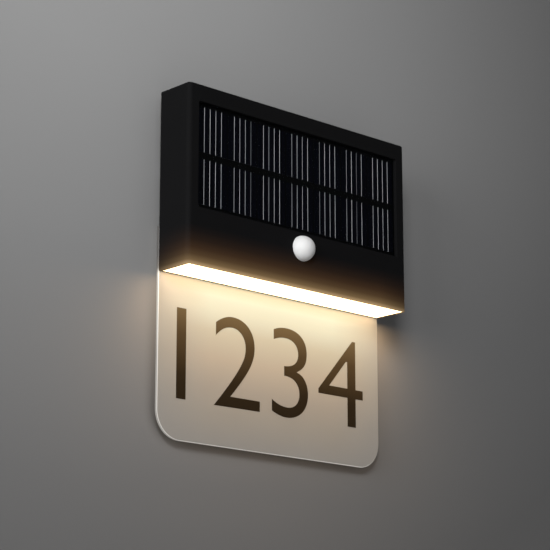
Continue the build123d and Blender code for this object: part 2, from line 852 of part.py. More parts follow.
with BuildPart() as number_plate:
    with BuildSketch(facing(plate_rear)) as outline:
        with Locations((0, (plate_bottom + plate_top) / 2)):
            Rectangle(housing_width, plate_top - plate_bottom)
        fillet(outline.vertices().group_by(Axis.Y)[0], plate_corner_radius)
    extrude(amount=plate_thickness)
    plate_faces = number_plate.faces().sort_by(Axis.Y)
    chamfer(plate_faces[0].edges() + plate_faces[-1].edges(), plate_edge_chamfer)
    prisms(
        facing(plate_rear),
        plate_thickness,
        screw_clearance_radius,
        shank_sides,
        plate_screw_places,
        Mode.SUBTRACT,
    )

with BuildPart() as plate_washers:
    with BuildSketch(facing(plate_rear)):
        with Locations(*plate_screw_places):
            RegularPolygon(washer_radius, head_sides)
            RegularPolygon(screw_clearance_radius, shank_sides, mode=Mode.SUBTRACT)
    extrude(amount=-washer_thickness)

# ---------------------------------------------------------------- screws


def pan_screws(seat, places, core_radius, length, head_radius, head_height):
    """Screws seated on a plane with their shanks along its normal and plain flat heads."""
    with BuildPart() as screws:
        prisms(seat, length, core_radius, shank_sides, places)
        prisms(seat, -head_height, head_radius, head_sides, places)
    return screws


cover_screws = pan_screws(
    facing(rear), cover_screw_places, screw_core, screw_length, screw_head_radius, screw_head_height
)
plate_screws = pan_screws(
    facing(plate_rear - washer_thickness),
    plate_screw_places,
    screw_core,
    screw_length,
    screw_head_radius,
    screw_head_height,
)
board_screws = pan_screws(
    facing(board_rear),
    board_screw_places,
    small_core,
    board_screw_length - board_thickness / 2,
    small_head_radius,
    small_head_height,
)
strip_screws = pan_screws(
    Plane.XY.offset(led_board_bottom),
    strip_screw_places,
    small_core,
    led_board_screw_length,
    small_head_radius,
    small_head_height,
)
holder_screws = pan_screws(
    facing(holder_front - holder_floor + small_head_height),
    holder_screw_places,
    small_core,
    holder_screw_length,
    small_head_radius,
    small_head_height,
)

# ---------------------------------------------------------------- leads inside the housing


def lead(points):
    """A slim lead on straight runs joined by arcs, each as large as its two runs allow."""
    corners = [Vector(*point) for point in points]
    radii = []
    for before, corner, after in zip(corners, corners[1:], corners[2:]):
        turn = math.radians((corner - before).get_angle(after - corner))
        shorter = min((corner - before).length, (after - corner).length)
        radii.append(bend_share * shorter / math.tan(turn / 2))
    with BuildPart() as tube:
        with BuildLine() as route:
            FilletPolyline(*corners, radius=radii)
        with BuildSketch(Plane(corners[0], z_dir=corners[1] - corners[0])):
            RegularPolygon(lead_radius, lead_sides)
        sweep(path=route.wires()[0])
    return tube.part


def panel_lead(offset):
    """From the rear of the solar panel through the pocket's floor to its socket."""
    z = bottom + panel_lead_height + offset
    return lead(
        [
            (panel_lead_x, -panel_board_rear, z),
            (panel_lead_x, -plug_depth, z),
            (mouth - connector_grip, -plug_depth, z),
        ]
    )


def light_lead(offset):
    """From the socket by the shelf down through the grommet to the light strip."""
    z = bottom + light_connector_height + offset
    x = lead_hole_x + offset
    middle = (plug_depth + light_centre) / 2
    return lead(
        [
            (mouth - connector_grip, -plug_depth, z),
            (mouth + lead_bow / 2, -plug_depth, z),
            (x - lead_bow / 5, -middle, (z + shelf_top + lead_bow) / 2),
            (x, -light_centre, shelf_top + lead_bow / 2),
            (x, -light_centre, shelf_bottom),
        ]
    )


def battery_lead(start, offset):
    """From a contact at one end of the holder down to the socket on the board's left."""
    z = bottom + battery_connector_height + offset
    beside = offset - mouth - lead_bow
    return lead(
        [
            *start,
            (beside - lead_bow / 5, -(cell_axis + plug_depth) / 2, z + 3 * lead_bow),
            (beside, -plug_depth, z + lead_bow),
            (beside + lead_bow / 2, -plug_depth, z),
            (-mouth + connector_grip, -plug_depth, z),
        ]
    )


holder_end = holder_length / 2
under_holder = holder_z - holder_outer_height / 2 - lead_bow
positive_start = [
    (holder_end, -cell_axis, holder_z),
    (holder_end + lead_bow / 2, -cell_axis, holder_z),
    (holder_end + lead_bow, -cell_axis, holder_z - lead_bow),
    (holder_end + lead_bow / 2, -cell_axis, under_holder + lead_bow / 2),
    (holder_end - lead_bow, -cell_axis, under_holder),
    (0, -cell_axis, under_holder + lead_radius),
    (-holder_end + lead_bow, -cell_axis, under_holder),
]
negative_start = [
    (-holder_end, -cell_axis, holder_z),
    (-holder_end - lead_bow / 2, -cell_axis, holder_z),
    (-holder_end - lead_bow, -cell_axis, holder_z - lead_bow),
    (-holder_end - lead_bow, -cell_axis, under_holder),
]
half_spacing = lead_spacing / 2

positive_tubes = [
    panel_lead(half_spacing),
    light_lead(half_spacing),
    battery_lead(positive_start, half_spacing),
]
negative_tubes = [
    panel_lead(-half_spacing),
    light_lead(-half_spacing),
    battery_lead(negative_start, -half_spacing),
]

with BuildPart() as positive_leads:
    add(positive_tubes)

with BuildPart() as negative_leads:
    add(negative_tubes)

with BuildPart() as shelf_grommet:
    lip_radius = lead_hole_radius + grommet_lip
    grommet_length = shelf_thickness + grommet_lip
    prisms(under_shelf, shelf_thickness, lead_hole_radius, shank_sides, [grommet_place])
    prisms(above_shelf, grommet_lip, lip_radius, shank_sides, [grommet_place])
    prisms(under_shelf, grommet_length, grommet_bore, shank_sides, [grommet_place], Mode.SUBTRACT)

# ---------------------------------------------------------------- hand-in

pieces = {
    "front_housing": front_housing,
    "rear_cover": rear_cover,
    "cover_gasket": cover_gasket,
    "cover_screws": cover_screws,
    "solar_laminate": solar_laminate,
    "solar_cells": solar_cells,
    "cell_fingers": cell_fingers,
    "solar_board": solar_board,
    "panel_tape": panel_tape,
    "sensor_lens": sensor_lens,
    "sensor_hood": sensor_hood,
    "motion_sensor": motion_sensor,
    "main_board": main_board,
    "board_components": board_components,
    "board_connectors": board_connectors,
    "board_screws": board_screws,
    "switch_body": switch_body,
    "switch_plunger": switch_plunger,
    "mode_button": mode_button,
    "button_seal": button_seal,
    "light_strip": light_strip,
    "light_leds": light_leds,
    "light_reflector": light_reflector,
    "light_diffuser": light_diffuser,
    "strip_screws": strip_screws,
    "battery_holder": battery_holder,
    "battery_cell": battery_cell,
    "contact_plate": contact_plate,
    "contact_spring": contact_spring,
    "holder_screws": holder_screws,
    "positive_leads": positive_leads,
    "negative_leads": negative_leads,
    "shelf_grommet": shelf_grommet,
    "number_plate": number_plate,
    "plate_washers": plate_washers,
    "plate_screws": plate_screws,
}

os.makedirs("parts", exist_ok=True)
for name, piece in pieces.items():
    piece.part.label = name
    export_step(piece.part, f"parts/{name}.step")
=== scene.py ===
import json
import math

import bmesh
import bpy
from mathutils import Euler, Matrix, Vector


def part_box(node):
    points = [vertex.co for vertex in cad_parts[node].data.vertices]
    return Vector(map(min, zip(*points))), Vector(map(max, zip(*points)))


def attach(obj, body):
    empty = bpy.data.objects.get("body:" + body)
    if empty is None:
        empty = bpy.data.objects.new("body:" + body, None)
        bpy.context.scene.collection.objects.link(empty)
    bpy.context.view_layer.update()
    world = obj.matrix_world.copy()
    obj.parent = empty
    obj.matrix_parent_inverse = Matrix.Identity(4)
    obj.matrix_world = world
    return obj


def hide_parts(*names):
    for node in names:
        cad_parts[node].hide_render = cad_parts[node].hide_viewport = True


# The looks of a solar house number sign. Metres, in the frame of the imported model: +Z is up, the
# wall is the plane Y = 0 and the sign faces -Y, so what is nearer to the viewer has the lower Y.

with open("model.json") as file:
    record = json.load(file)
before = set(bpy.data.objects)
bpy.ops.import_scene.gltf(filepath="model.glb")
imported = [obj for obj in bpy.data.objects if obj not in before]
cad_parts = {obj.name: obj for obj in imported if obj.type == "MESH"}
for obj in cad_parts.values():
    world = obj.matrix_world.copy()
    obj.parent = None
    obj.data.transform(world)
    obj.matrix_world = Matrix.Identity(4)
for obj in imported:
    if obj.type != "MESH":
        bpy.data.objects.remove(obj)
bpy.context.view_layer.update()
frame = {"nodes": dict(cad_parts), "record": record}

housing_low, housing_high = (Vector(corner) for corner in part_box("front_housing"))
plate_low, plate_high = (Vector(corner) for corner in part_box("number_plate"))

# ---------------------------------------------------------------- sizes of the dressed pieces

mm = 0.001

# The number. The outset is a share of the letters' size; below zero it thins their strokes.
digit_text = "1234"
digit_height = 55 * mm
digit_row_width = 152 * mm
digit_drop = 18.4 * mm
digit_thickness = 0.12 * mm
letter_outset = -0.008
letter_curve_steps = 16

# The panel's fingers: a few on each cell, in columns and rows of cells.
finger_columns = 7
finger_rows = 2
fingers_per_cell = 4
finger_pitch = 4.4 * mm
finger_width = 0.22 * mm
finger_thickness = 0.06 * mm
finger_lift = 0.02 * mm
cell_pitch = 23.3 * mm
cell_row_length = 27.2 * mm
cell_row_gap = 4.4 * mm

# The clear sheet over the cells.
laminate_clearance = 0.1 * mm
laminate_edge = 0.25 * mm
laminate_edge_steps = 3

# Tapping screws. A head has a straight rim, a crown that curves inwards and a flat top. The rim's
# and the crown's shares are of the head's height, the inset's and the flat's of its radius.
screw_length = 11 * mm
screw_core_radius = 0.95 * mm
screw_thread_radius = 1.14 * mm
screw_thread_pitch = 1.1 * mm
screw_head_radius = 2.8 * mm
screw_head_height = 1.7 * mm
screw_rim_share = 0.45
screw_crown_share = 0.53
screw_inset_share = 0.25
screw_flat_share = 0.6
screw_crown_steps = 6
screw_turn_steps = 32
screw_recess_width = 0.75 * mm
screw_recess_reach = 1.6 * mm
screw_recess_depth = 0.9 * mm
plate_screw_xs = (46 * mm, 78 * mm)
plate_screw_rise = 20 * mm
cover_screw_inset = 6.2 * mm
cover_screw_rises = (36 * mm, 64 * mm, 102.8 * mm)

# The sensor's dome, and its flange behind the housing's front wall.
lens_thickness = 0.7 * mm
lens_flange_half_height = 8.4 * mm
lens_flange_thickness = 1.2 * mm
housing_wall = 2.4 * mm
dome_arc_steps = 24
dome_turn_steps = 96

# Corners closer than these are one: along the seam of a turned solid, and in a cleaned mesh.
seam_nearness = 1e-7
weld_nearness = 1e-6

# Stands up what was made lying down: its +Y turns to +Z, and its +Z to -Y.
upright = Matrix.Rotation(math.radians(90), 4, "X")

# ---------------------------------------------------------------- building node trees

# Places of the colour sockets on a Mix node, which also has sockets for numbers and vectors.
mix_factor, mix_first, mix_second, mix_result = 0, 6, 7, 2

black = (0.0, 0.0, 0.0)


def fill(tree, socket, value):
    """A socket takes a constant, or a link from another node's output."""
    if isinstance(value, bpy.types.NodeSocket):
        tree.links.new(value, socket)
    elif socket.type == "RGBA":
        socket.default_value = (*value, 1.0)
    else:
        socket.default_value = value


def added(tree, kind, inputs=(), **settings):
    """A node in a tree, with its settings and with what its inputs take, by name or place."""
    node = tree.nodes.new(kind)
    for setting, value in settings.items():
        setattr(node, setting, value)
    for key, value in dict(inputs).items():
        fill(tree, node.inputs[key], value)
    return node


class Finish:
    """A node material with its Principled surface and short calls for what feeds it."""

    def __init__(self, name, roughness, metallic=0.0, specular=0.5):
        self.name = name
        self.material = bpy.data.materials.new(name)
        self.material.use_nodes = True
        self.tree = self.material.node_tree
        self.surface = self.tree.nodes["Principled BSDF"]
        self.feed(roughness, "Roughness")
        self.feed(metallic, "Metallic")
        self.feed(specular, "Specular IOR Level")
        self.place = self.node("ShaderNodeTexCoord").outputs["Object"]

    def node(self, kind, inputs=(), **settings):
        return added(self.tree, kind, inputs, **settings)

    def feed(self, value, socket):
        fill(self.tree, self.surface.inputs[socket], value)

    def stretched(self, scale):
        """Object coordinates scaled along each axis, for a grain with a direction."""
        mapping = self.node("ShaderNodeMapping", {"Vector": self.place, "Scale": scale})
        return mapping.outputs["Vector"]

    def noise(self, scale, detail=3.0, vector=None):
        inputs = {"Scale": scale, "Detail": detail, "Vector": vector or self.place}
        return self.node("ShaderNodeTexNoise", inputs).outputs["Fac"]

    def cells(self, scale):
        inputs = {"Scale": scale, "Vector": self.place}
        return self.node("ShaderNodeTexVoronoi", inputs).outputs["Distance"]

    def waves(self, scale, direction, vector=None):
        inputs = {"Scale": scale, "Vector": vector or self.place}
        return self.node("ShaderNodeTexWave", inputs, bands_direction=direction).outputs["Fac"]

    def along(self, axis, vector=None):
        """One component of the Object coordinates, or of another vector."""
        split = self.node("ShaderNodeSeparateXYZ", {"Vector": vector or self.place})
        return split.outputs[axis]

    def math(self, operation, first, second=0.0):
        node = self.node("ShaderNodeMath", {0: first, 1: second}, operation=operation)
        return node.outputs["Value"]

    def ranged(self, source, low, high, to_low=0.0, to_high=1.0):
        """What goes from low to high is mapped to another range and held at its ends."""
        inputs = {
            "Value": source,
            "From Min": low,
            "From Max": high,
            "To Min": to_low,
            "To Max": to_high,
        }
        return self.node("ShaderNodeMapRange", inputs).outputs["Result"]

    def ramp(self, source, stops):
        """Colours along 0 to 1: stops are (place, colour)."""
        node = self.node("ShaderNodeValToRGB", {"Fac": source})
        while len(node.color_ramp.elements) < len(stops):
            node.color_ramp.elements.new(0.5)
        for element, (place, colour) in zip(node.color_ramp.elements, stops):
            element.position = place
            element.color = (*colour, 1.0)
        return node.outputs["Color"]

    def mixed(self, factor, first, second, blend="MIX"):
        """A colour from first at factor 0 to second, or to their blend, at factor 1."""
        inputs = {mix_factor: factor, mix_first: first, mix_second: second}
        node = self.node("ShaderNodeMix", inputs, data_type="RGBA", blend_type=blend)
        return node.outputs[mix_result]

    def coloured(self, factor, first, second):
        """A base colour between two."""
        self.feed(self.mixed(factor, first, second), "Base Color")

    def uneven_gloss(self, source, low, high):
        """A roughness that follows a noise from low to high."""
        self.feed(self.ranged(source, 0.3, 0.7, low, high), "Roughness")

    def bump(self, height, strength, distance):
        inputs = {"Strength": strength, "Distance": distance, "Height": height}
        self.feed(self.node("ShaderNodeBump", inputs).outputs["Normal"], "Normal")

    def glow(self, colour, strength=1.0):
        self.feed(colour, "Emission Color")
        self.feed(strength, "Emission Strength")


# ---------------------------------------------------------------- kinds of material


def plastic(name, colour, shade, roughness, specular=0.4):
    """Moulded plastic: a spark-eroded grain, slow colour drift and uneven gloss."""
    grain = 0.35 * mm
    grain_depth = 0.02 * mm
    finish = Finish(name, roughness, specular=specular)
    finish.coloured(finish.noise(45.0, 4.0), colour, shade)
    finish.uneven_gloss(finish.noise(160.0, 2.0), roughness - 0.05, roughness + 0.06)
    finish.bump(finish.noise(1.0 / grain, 2.0), 0.35, grain_depth)
    return finish


def rubber(name, colour, shade):
    """Soft moulded rubber: matt, with a powdery bloom."""
    finish = Finish(name, 0.75, specular=0.25)
    finish.coloured(finish.noise(220.0, 5.0), colour, shade)
    finish.uneven_gloss(finish.noise(90.0), 0.66, 0.84)
    finish.bump(finish.noise(2600.0), 0.3, 0.03 * mm)
    return finish


def metal(name, colour, shade, roughness):
    """Plated sheet or wire: fine drawing lines across X and faint stains."""
    finish = Finish(name, roughness, metallic=1.0)
    lines = finish.noise(1.0, 3.0, finish.stretched((900.0, 60.0, 60.0)))
    finish.coloured(finish.noise(120.0, 4.0), colour, shade)
    finish.uneven_gloss(lines, roughness - 0.08, roughness + 0.12)
    finish.bump(lines, 0.25, 0.01 * mm)
    return finish


def circuit_board(name, mask, copper, roughness):
    """Solder mask over faint copper tracks, with small tinned spots."""
    finish = Finish(name, roughness)
    tracks = finish.waves(260.0, "DIAGONAL", finish.stretched((1.0, 1.0, 0.35)))
    traced = finish.mixed(finish.ranged(tracks, 0.55, 0.6), mask, copper)
    finish.coloured(finish.ranged(finish.cells(230.0), 0.12, 0.1), traced, (0.75, 0.72, 0.66))
    finish.uneven_gloss(finish.noise(200.0), roughness - 0.06, roughness + 0.08)
    finish.bump(tracks, 0.3, 0.03 * mm)
    return finish


# ---------------------------------------------------------------- this sign's own materials


def housing_plastic():
    """Black ABS with a fine satin grain, and a painted warm glow along its lower edge where the light
    below spills over it.
    """
    painted_glow_height = 24 * mm
    painted_glow_fade_x = 66 * mm
    finish = plastic(
        "housing_black", (0.0070, 0.0070, 0.0074), (0.0084, 0.0084, 0.0088), 0.6, specular=0.012
    )
    # Painted glow: warm colour emitted along the lower edge, fading upwards, towards the rear and near
    # the right end.
    rise = finish.ranged(finish.along("Z"), housing_low.z, housing_low.z + painted_glow_height)
    painted_spill_glow = finish.ramp(rise, [
        (0.0, (0.42, 0.28, 0.14)),
        (0.1, (0.16, 0.10, 0.044)),
        (0.25, (0.072, 0.040, 0.016)),
        (0.42, (0.036, 0.017, 0.0062)),
        (0.62, (0.014, 0.0062, 0.0022)),
        (0.83, (0.004, 0.0016, 0.0006)),
        (1.0, black),
    ])
    forward = finish.ranged(finish.along("Y"), housing_high.y, housing_low.y, 0.25, 1.0)
    leftward = finish.ranged(finish.along("X"), painted_glow_fade_x, housing_high.x, 1.0, 0.45)
    finish.glow(finish.mixed(finish.math("MULTIPLY", forward, leftward), black, painted_spill_glow))
    return finish


def silicon():
    """Blue-black wafers with hair-fine printed grid lines across the fingers."""
    finish = Finish("silicon", 0.4, specular=0.04)
    grid = finish.waves(420.0, "Z")
    lines = finish.ramp(grid, [
        (0.0, (0.0011, 0.0014, 0.0033)),
        (0.9, (0.0012, 0.0015, 0.0038)),
        (1.0, (0.0022, 0.0027, 0.0055)),
    ])
    drift = finish.ranged(finish.noise(35.0, 2.0), 0.35, 0.65, 0.0, 0.5)
    finish.coloured(drift, lines, (0.0008, 0.0010, 0.0016))
    finish.uneven_gloss(finish.noise(70.0), 0.34, 0.48)
    finish.bump(grid, 0.1, 0.01 * mm)
    return finish


def silver_ribbon():
    """Tinned silver fingers, each a little brighter or duller than its neighbours."""
    finish = Finish("silver_ribbon", 0.5)
    across = finish.noise(1.0, 1.0, finish.stretched((130.0, 1.0, 0.5)))
    finish.feed(finish.ramp(across, [
        (0.38, (0.24, 0.25, 0.28)),
        (0.48, (0.72, 0.74, 0.80)),
        (0.62, (0.90, 0.92, 0.96)),
    ]), "Base Color")
    finish.uneven_gloss(finish.noise(900.0), 0.42, 0.6)
    finish.bump(finish.noise(4000.0), 0.3, 0.01 * mm)
    return finish


def clear_laminate():
    """Thin clear resin over the cells, faintly wavy."""
    finish = Finish("clear_laminate", 0.06, specular=0.07)
    finish.feed((0.004, 0.005, 0.007), "Base Color")
    finish.feed(0.05, "Alpha")
    finish.uneven_gloss(finish.noise(40.0), 0.05, 0.11)
    finish.bump(finish.noise(90.0, 1.0), 0.12, 0.05 * mm)
    return finish


def milky_lens():
    """Milky polyethylene, soft and slightly translucent."""
    finish = Finish("lens_white", 0.5, specular=0.2)
    finish.coloured(finish.noise(160.0), (0.74, 0.74, 0.735), (0.79, 0.79, 0.785))
    finish.feed(0.12, "Subsurface Weight")
    finish.feed((1.0, 0.9, 0.8), "Subsurface Radius")
    finish.feed(1.2 * mm, "Subsurface Scale")
    finish.uneven_gloss(finish.noise(400.0), 0.46, 0.6)
    finish.bump(finish.noise(1800.0), 0.15, 0.02 * mm)
    return finish


def lit_diffuser():
    """Milky polycarbonate lit from within by the warm LEDs behind it."""
    glow_strength = 5.0
    finish = Finish("diffuser_milk", 0.4)
    finish.feed((0.93, 0.9, 0.84), "Base Color")
    led_bands = finish.waves(31.4, "X")
    warm = finish.ramp(led_bands, [(0.0, (1.0, 0.64, 0.32)), (1.0, (1.0, 0.67, 0.35))])
    finish.glow(warm, glow_strength)
    finish.uneven_gloss(finish.noise(300.0), 0.34, 0.48)
    finish.bump(finish.noise(2500.0), 0.2, 0.02 * mm)
    return finish


def frosted_acrylic():
    """Milky acrylic with painted light: a painted glow that stands in for the lamp's light carried down
    the plate, and a painted shine on its polished rim.

    Each painted light fades with the drop from the plate's top edge. The front has one, the rear and the
    parts near the sides another and the rim a third, which is brightest on the small bevels.
    """
    side_fade_from, side_fade_to = 50 * mm, 88 * mm
    side_share = 0.7
    painted_bevel_gain = (2.45, 2.45, 2.45)
    finish = Finish("plate_acrylic", 0.36, specular=0.4)
    milk = finish.mixed(finish.noise(25.0, 3.0), (0.318, 0.302, 0.28), (0.345, 0.328, 0.305))
    drop = finish.ranged(finish.along("Z"), plate_high.z, plate_low.z)
    painted_front_light = finish.ramp(drop, [
        (0.0, black),
        (0.16, (0.02, 0.018, 0.012)),
        (0.22, (0.13, 0.19, 0.14)),
        (0.28, (0.30, 0.44, 0.36)),
        (0.34, (0.35, 0.40, 0.29)),
        (0.45, (0.29, 0.24, 0.13)),
        (0.58, (0.24, 0.155, 0.07)),
        (0.72, (0.13, 0.078, 0.03)),
        (0.84, (0.075, 0.045, 0.013)),
        (1.0, (0.02, 0.012, 0.004)),
    ])
    painted_rear_light = finish.ramp(drop, [
        (0.0, black),
        (0.16, (0.02, 0.017, 0.012)),
        (0.24, (0.34, 0.28, 0.19)),
        (0.34, (0.40, 0.32, 0.20)),
        (0.58, (0.21, 0.15, 0.08)),
        (0.8, (0.08, 0.055, 0.03)),
        (1.0, (0.02, 0.013, 0.007)),
    ])
    painted_edge_light = finish.ramp(drop, [
        (0.0, black),
        (0.14, (0.01, 0.009, 0.008)),
        (0.2, (0.09, 0.075, 0.06)),
        (0.23, (0.56, 0.52, 0.44)),
        (0.47, (0.38, 0.36, 0.32)),
        (0.6, (0.285, 0.27, 0.245)),
        (1.0, (0.21, 0.20, 0.185)),
    ])

    normal = finish.node("ShaderNodeTexCoord").outputs["Normal"]
    facing = finish.math("ABSOLUTE", finish.along("Y", normal))
    turned_away = finish.ranged(facing, 0.95, 0.8)
    bevel = finish.math("MULTIPLY", turned_away, finish.ranged(facing, 0.4, 0.6))
    not_underside = finish.ranged(finish.along("Z", normal), -0.95, -0.8)
    rim = finish.math("MULTIPLY", turned_away, not_underside)
    rearward = finish.ranged(finish.along("Y", normal), -0.2, 0.2)
    from_middle = finish.math("ABSOLUTE", finish.along("X"))
    toward_sides = finish.ranged(from_middle, side_fade_from, side_fade_to)

    # Painted light: the body's glow and the rim's shine are emitted colour that stands in for the lamp's
    # light.
    painted_body_light = finish.mixed(rearward, painted_front_light, painted_rear_light)
    painted_side_light = finish.mixed(side_share, black, painted_rear_light)
    painted_body_light = finish.mixed(toward_sides, painted_body_light, painted_side_light)
    painted_bevel_light = finish.mixed(1.0, painted_edge_light, painted_bevel_gain, "MULTIPLY")
    painted_rim_light = finish.mixed(bevel, painted_edge_light, painted_bevel_light)
    # The rim has a darker base colour under its painted glow.
    finish.coloured(rim, milk, (0.10, 0.095, 0.09))
    finish.glow(finish.mixed(rim, painted_body_light, painted_rim_light))
    finish.uneven_gloss(finish.noise(500.0), 0.32, 0.44)
    finish.bump(finish.noise(3200.0), 0.2, 0.01 * mm)
    return finish


def digit_vinyl():
    """Dark brown-black cut vinyl, with a painted warm glow on its upper part, near the lamp."""
    finish = Finish("digit_vinyl", 0.5, specular=0.1)
    finish.coloured(finish.noise(120.0), (0.014, 0.009, 0.004), (0.019, 0.013, 0.006))
    # Painted glow: warm colour emitted on the digits, strongest at the top and gone by the plate's foot.
    drop = finish.ranged(finish.along("Z"), housing_low.z, plate_low.z)
    finish.glow(finish.ramp(drop, [
        (0.15, (0.19, 0.12, 0.05)),
        (0.35, (0.075, 0.042, 0.016)),
        (0.6, (0.014, 0.007, 0.0025)),
        (1.0, black),
    ]))
    finish.uneven_gloss(finish.noise(700.0), 0.42, 0.58)
    finish.bump(finish.noise(2500.0), 0.2, 0.01 * mm)
    return finish


def battery_wrap():
    """Shrink wrap round the cell with a plain band near its positive end."""
    half_length = 33 * mm
    finish = Finish("battery_wrap", 0.3)
    finish.feed(finish.ramp(finish.ranged(finish.along("X"), -half_length, half_length), [
        (0.0, (0.03, 0.16, 0.42)),
        (0.78, (0.03, 0.17, 0.45)),
        (0.80, (0.75, 0.75, 0.74)),
        (0.86, (0.75, 0.75, 0.74)),
        (0.88, (0.03, 0.16, 0.42)),
    ]), "Base Color")
    finish.uneven_gloss(finish.noise(150.0), 0.24, 0.4)
    finish.bump(finish.noise(600.0), 0.2, 0.05 * mm)
    return finish


finishes = [
    housing_plastic(),
    plastic("cover_black", (0.010, 0.010, 0.0105), (0.014, 0.014, 0.0145), 0.52, specular=0.3),
    rubber("seal_rubber", (0.035, 0.035, 0.035), (0.055, 0.055, 0.054)),
    clear_laminate(),
    silicon(),
    silver_ribbon(),
    plastic("panel_board", (0.0008, 0.0010, 0.0010), (0.0013, 0.0015, 0.0014), 0.5, specular=0.05),
    rubber("foam_tape", (0.78, 0.78, 0.75), (0.86, 0.86, 0.83)),
    milky_lens(),
    plastic("hood_white", (0.76, 0.76, 0.74), (0.80, 0.80, 0.78), 0.5),
    metal("can_steel", (0.56, 0.56, 0.56), (0.64, 0.64, 0.63), 0.3),
    circuit_board("circuit_green", (0.012, 0.12, 0.05), (0.02, 0.2, 0.08), 0.3),
    plastic("component_black", (0.02, 0.02, 0.02), (0.035, 0.035, 0.035), 0.55),
    plastic("connector_white", (0.74, 0.71, 0.62), (0.80, 0.77, 0.69), 0.45),
    plastic("button_black", (0.016, 0.016, 0.017), (0.022, 0.022, 0.023), 0.45),
    circuit_board("strip_white", (0.78, 0.78, 0.77), (0.70, 0.70, 0.70), 0.35),
    plastic("led_phosphor", (0.90, 0.62, 0.14), (0.93, 0.70, 0.22), 0.4),
    plastic("reflector_white", (0.86, 0.86, 0.84), (0.90, 0.90, 0.88), 0.5),
    lit_diffuser(),
    plastic("holder_black", (0.022, 0.022, 0.022), (0.03, 0.03, 0.03), 0.5),
    battery_wrap(),
    metal("contact_nickel", (0.66, 0.64, 0.58), (0.74, 0.72, 0.67), 0.28),
    rubber("lead_red", (0.45, 0.018, 0.012), (0.52, 0.03, 0.02)),
    rubber("lead_black", (0.015, 0.015, 0.015), (0.025, 0.025, 0.025)),
    frosted_acrylic(),
    plastic("washer_nylon", (0.74, 0.74, 0.71), (0.79, 0.79, 0.76), 0.45),
    metal("screw_steel", (0.50, 0.50, 0.51), (0.58, 0.58, 0.58), 0.34),
    digit_vinyl(),
]
materials = {finish.name: finish.material for finish in finishes}
for subpart in frame["record"]["subparts"]:
    node = frame["nodes"][subpart["node"]]
    if not node.data.materials:
        node.data.materials.append(None)
    for place in range(len(node.data.materials)):
        node.data.materials[place] = materials[subpart["material_slot"]]

# ---------------------------------------------------------------- making pieces


def in_scene(name, data):
    """A new object for a mesh, a text, a lamp or a camera, linked into the scene."""
    thing = bpy.data.objects.new(name, data)
    bpy.context.scene.collection.objects.link(thing)
    return thing


def new_piece(name, mesh, material, body="sign", replaced=()):
    """A finished mesh, at the origin, riding on its body."""
    mesh.materials.clear()
    mesh.materials.append(materials[material])
    piece = in_scene(name, mesh)
    if replaced:
        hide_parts(*replaced)
    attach(piece, body)


def reshaped(mesh, change):
    """The mesh after a change to its corners, edges and faces."""
    shape = bmesh.new()
    shape.from_mesh(mesh)
    change(shape)
    shape.to_mesh(mesh)
    shape.free()
    return mesh


def made(name, change):
    """A new mesh, made by a change to an empty one."""
    return reshaped(bpy.data.meshes.new(name), change)


def smooth_by_angle(mesh, degrees):
    """Rounded faces shade smoothly, and edges sharper than this angle stay crisp."""

    def mark(shape):
        for face in shape.faces:
            face.smooth = True
        for edge in shape.edges:
            edge.smooth = len(edge.link_faces) == 2 and edge.calc_face_angle() < math.radians(degrees)

    return reshaped(mesh, mark)


def cleaned(mesh):
    """Corners that coincide are merged, slivers dissolved and faces turned outwards."""

    def clean(shape):
        bmesh.ops.remove_doubles(shape, verts=shape.verts, dist=weld_nearness)
        bmesh.ops.dissolve_degenerate(shape, edges=shape.edges, dist=weld_nearness)
        bmesh.ops.recalc_face_normals(shape, faces=shape.faces)

    return reshaped(mesh, clean)


def revolved(name, profile, steps):
    """A closed solid of revolution about Z from (radius, height) points that end on the axis."""

    def spin(shape):
        points = [shape.verts.new((radius, 0, height)) for radius, height in profile]
        edges = [shape.edges.new(pair) for pair in zip(points, points[1:])]
        bmesh.ops.spin(
            shape, geom=points + edges, cent=(0, 0, 0), axis=(0, 0, 1), angle=math.tau, steps=steps
        )
        bmesh.ops.remove_doubles(shape, verts=shape.verts, dist=seam_nearness)
        bmesh.ops.recalc_face_normals(shape, faces=shape.faces)

    return made(name, spin)


def block(name, low, high):
    """A plain block between two corners, to be bevelled or to cut with."""

    def stretch(shape):
        bmesh.ops.create_cube(shape, size=1.0)
        for corner in shape.verts:
            corner.co = corner.co * (high - low) + (low + high) / 2

    return made(name, stretch)


def placed(mesh, matrix):
    mesh.transform(matrix)
    mesh.update()
    return mesh


def evaluated_mesh(piece):
    """The piece's mesh with its modifiers applied."""
    graph = bpy.context.evaluated_depsgraph_get()
    return bpy.data.meshes.new_from_object(piece.evaluated_get(graph))


def modified_mesh(mesh, kind, **settings):
    """The mesh after one modifier."""
    helper = in_scene("helper", mesh)
    modifier = helper.modifiers.new(kind, kind)
    for setting, value in settings.items():
        setattr(modifier, setting, value)
    result = evaluated_mesh(helper)
    bpy.data.objects.remove(helper)
    return result


# ---------------------------------------------------------------- repeated pieces, by Geometry Nodes


def node_group(name, inputs):
    """An empty Geometry Nodes group with named inputs (name, kind), its input and output nodes."""
    group = bpy.data.node_groups.new(name, "GeometryNodeTree")
    group.interface.new_socket("Geometry", in_out="INPUT", socket_type="NodeSocketGeometry")
    for label, kind in inputs:
        group.interface.new_socket(label, in_out="INPUT", socket_type=kind)
    group.interface.new_socket("Geometry", in_out="OUTPUT", socket_type="NodeSocketGeometry")
    return group, group.nodes.new("NodeGroupInput"), group.nodes.new("NodeGroupOutput")


def ending(group, instances, given, result):
    """Realize Instances and Set Material at the end of a tree."""
    realize = added(group, "GeometryNodeRealizeInstances", {"Geometry": instances})
    finish = added(group, "GeometryNodeSetMaterial", {
        "Geometry": realize.outputs["Geometry"],
        "Material": given.outputs["Material"],
    })
    fill(group, result.inputs["Geometry"], finish.outputs["Geometry"])


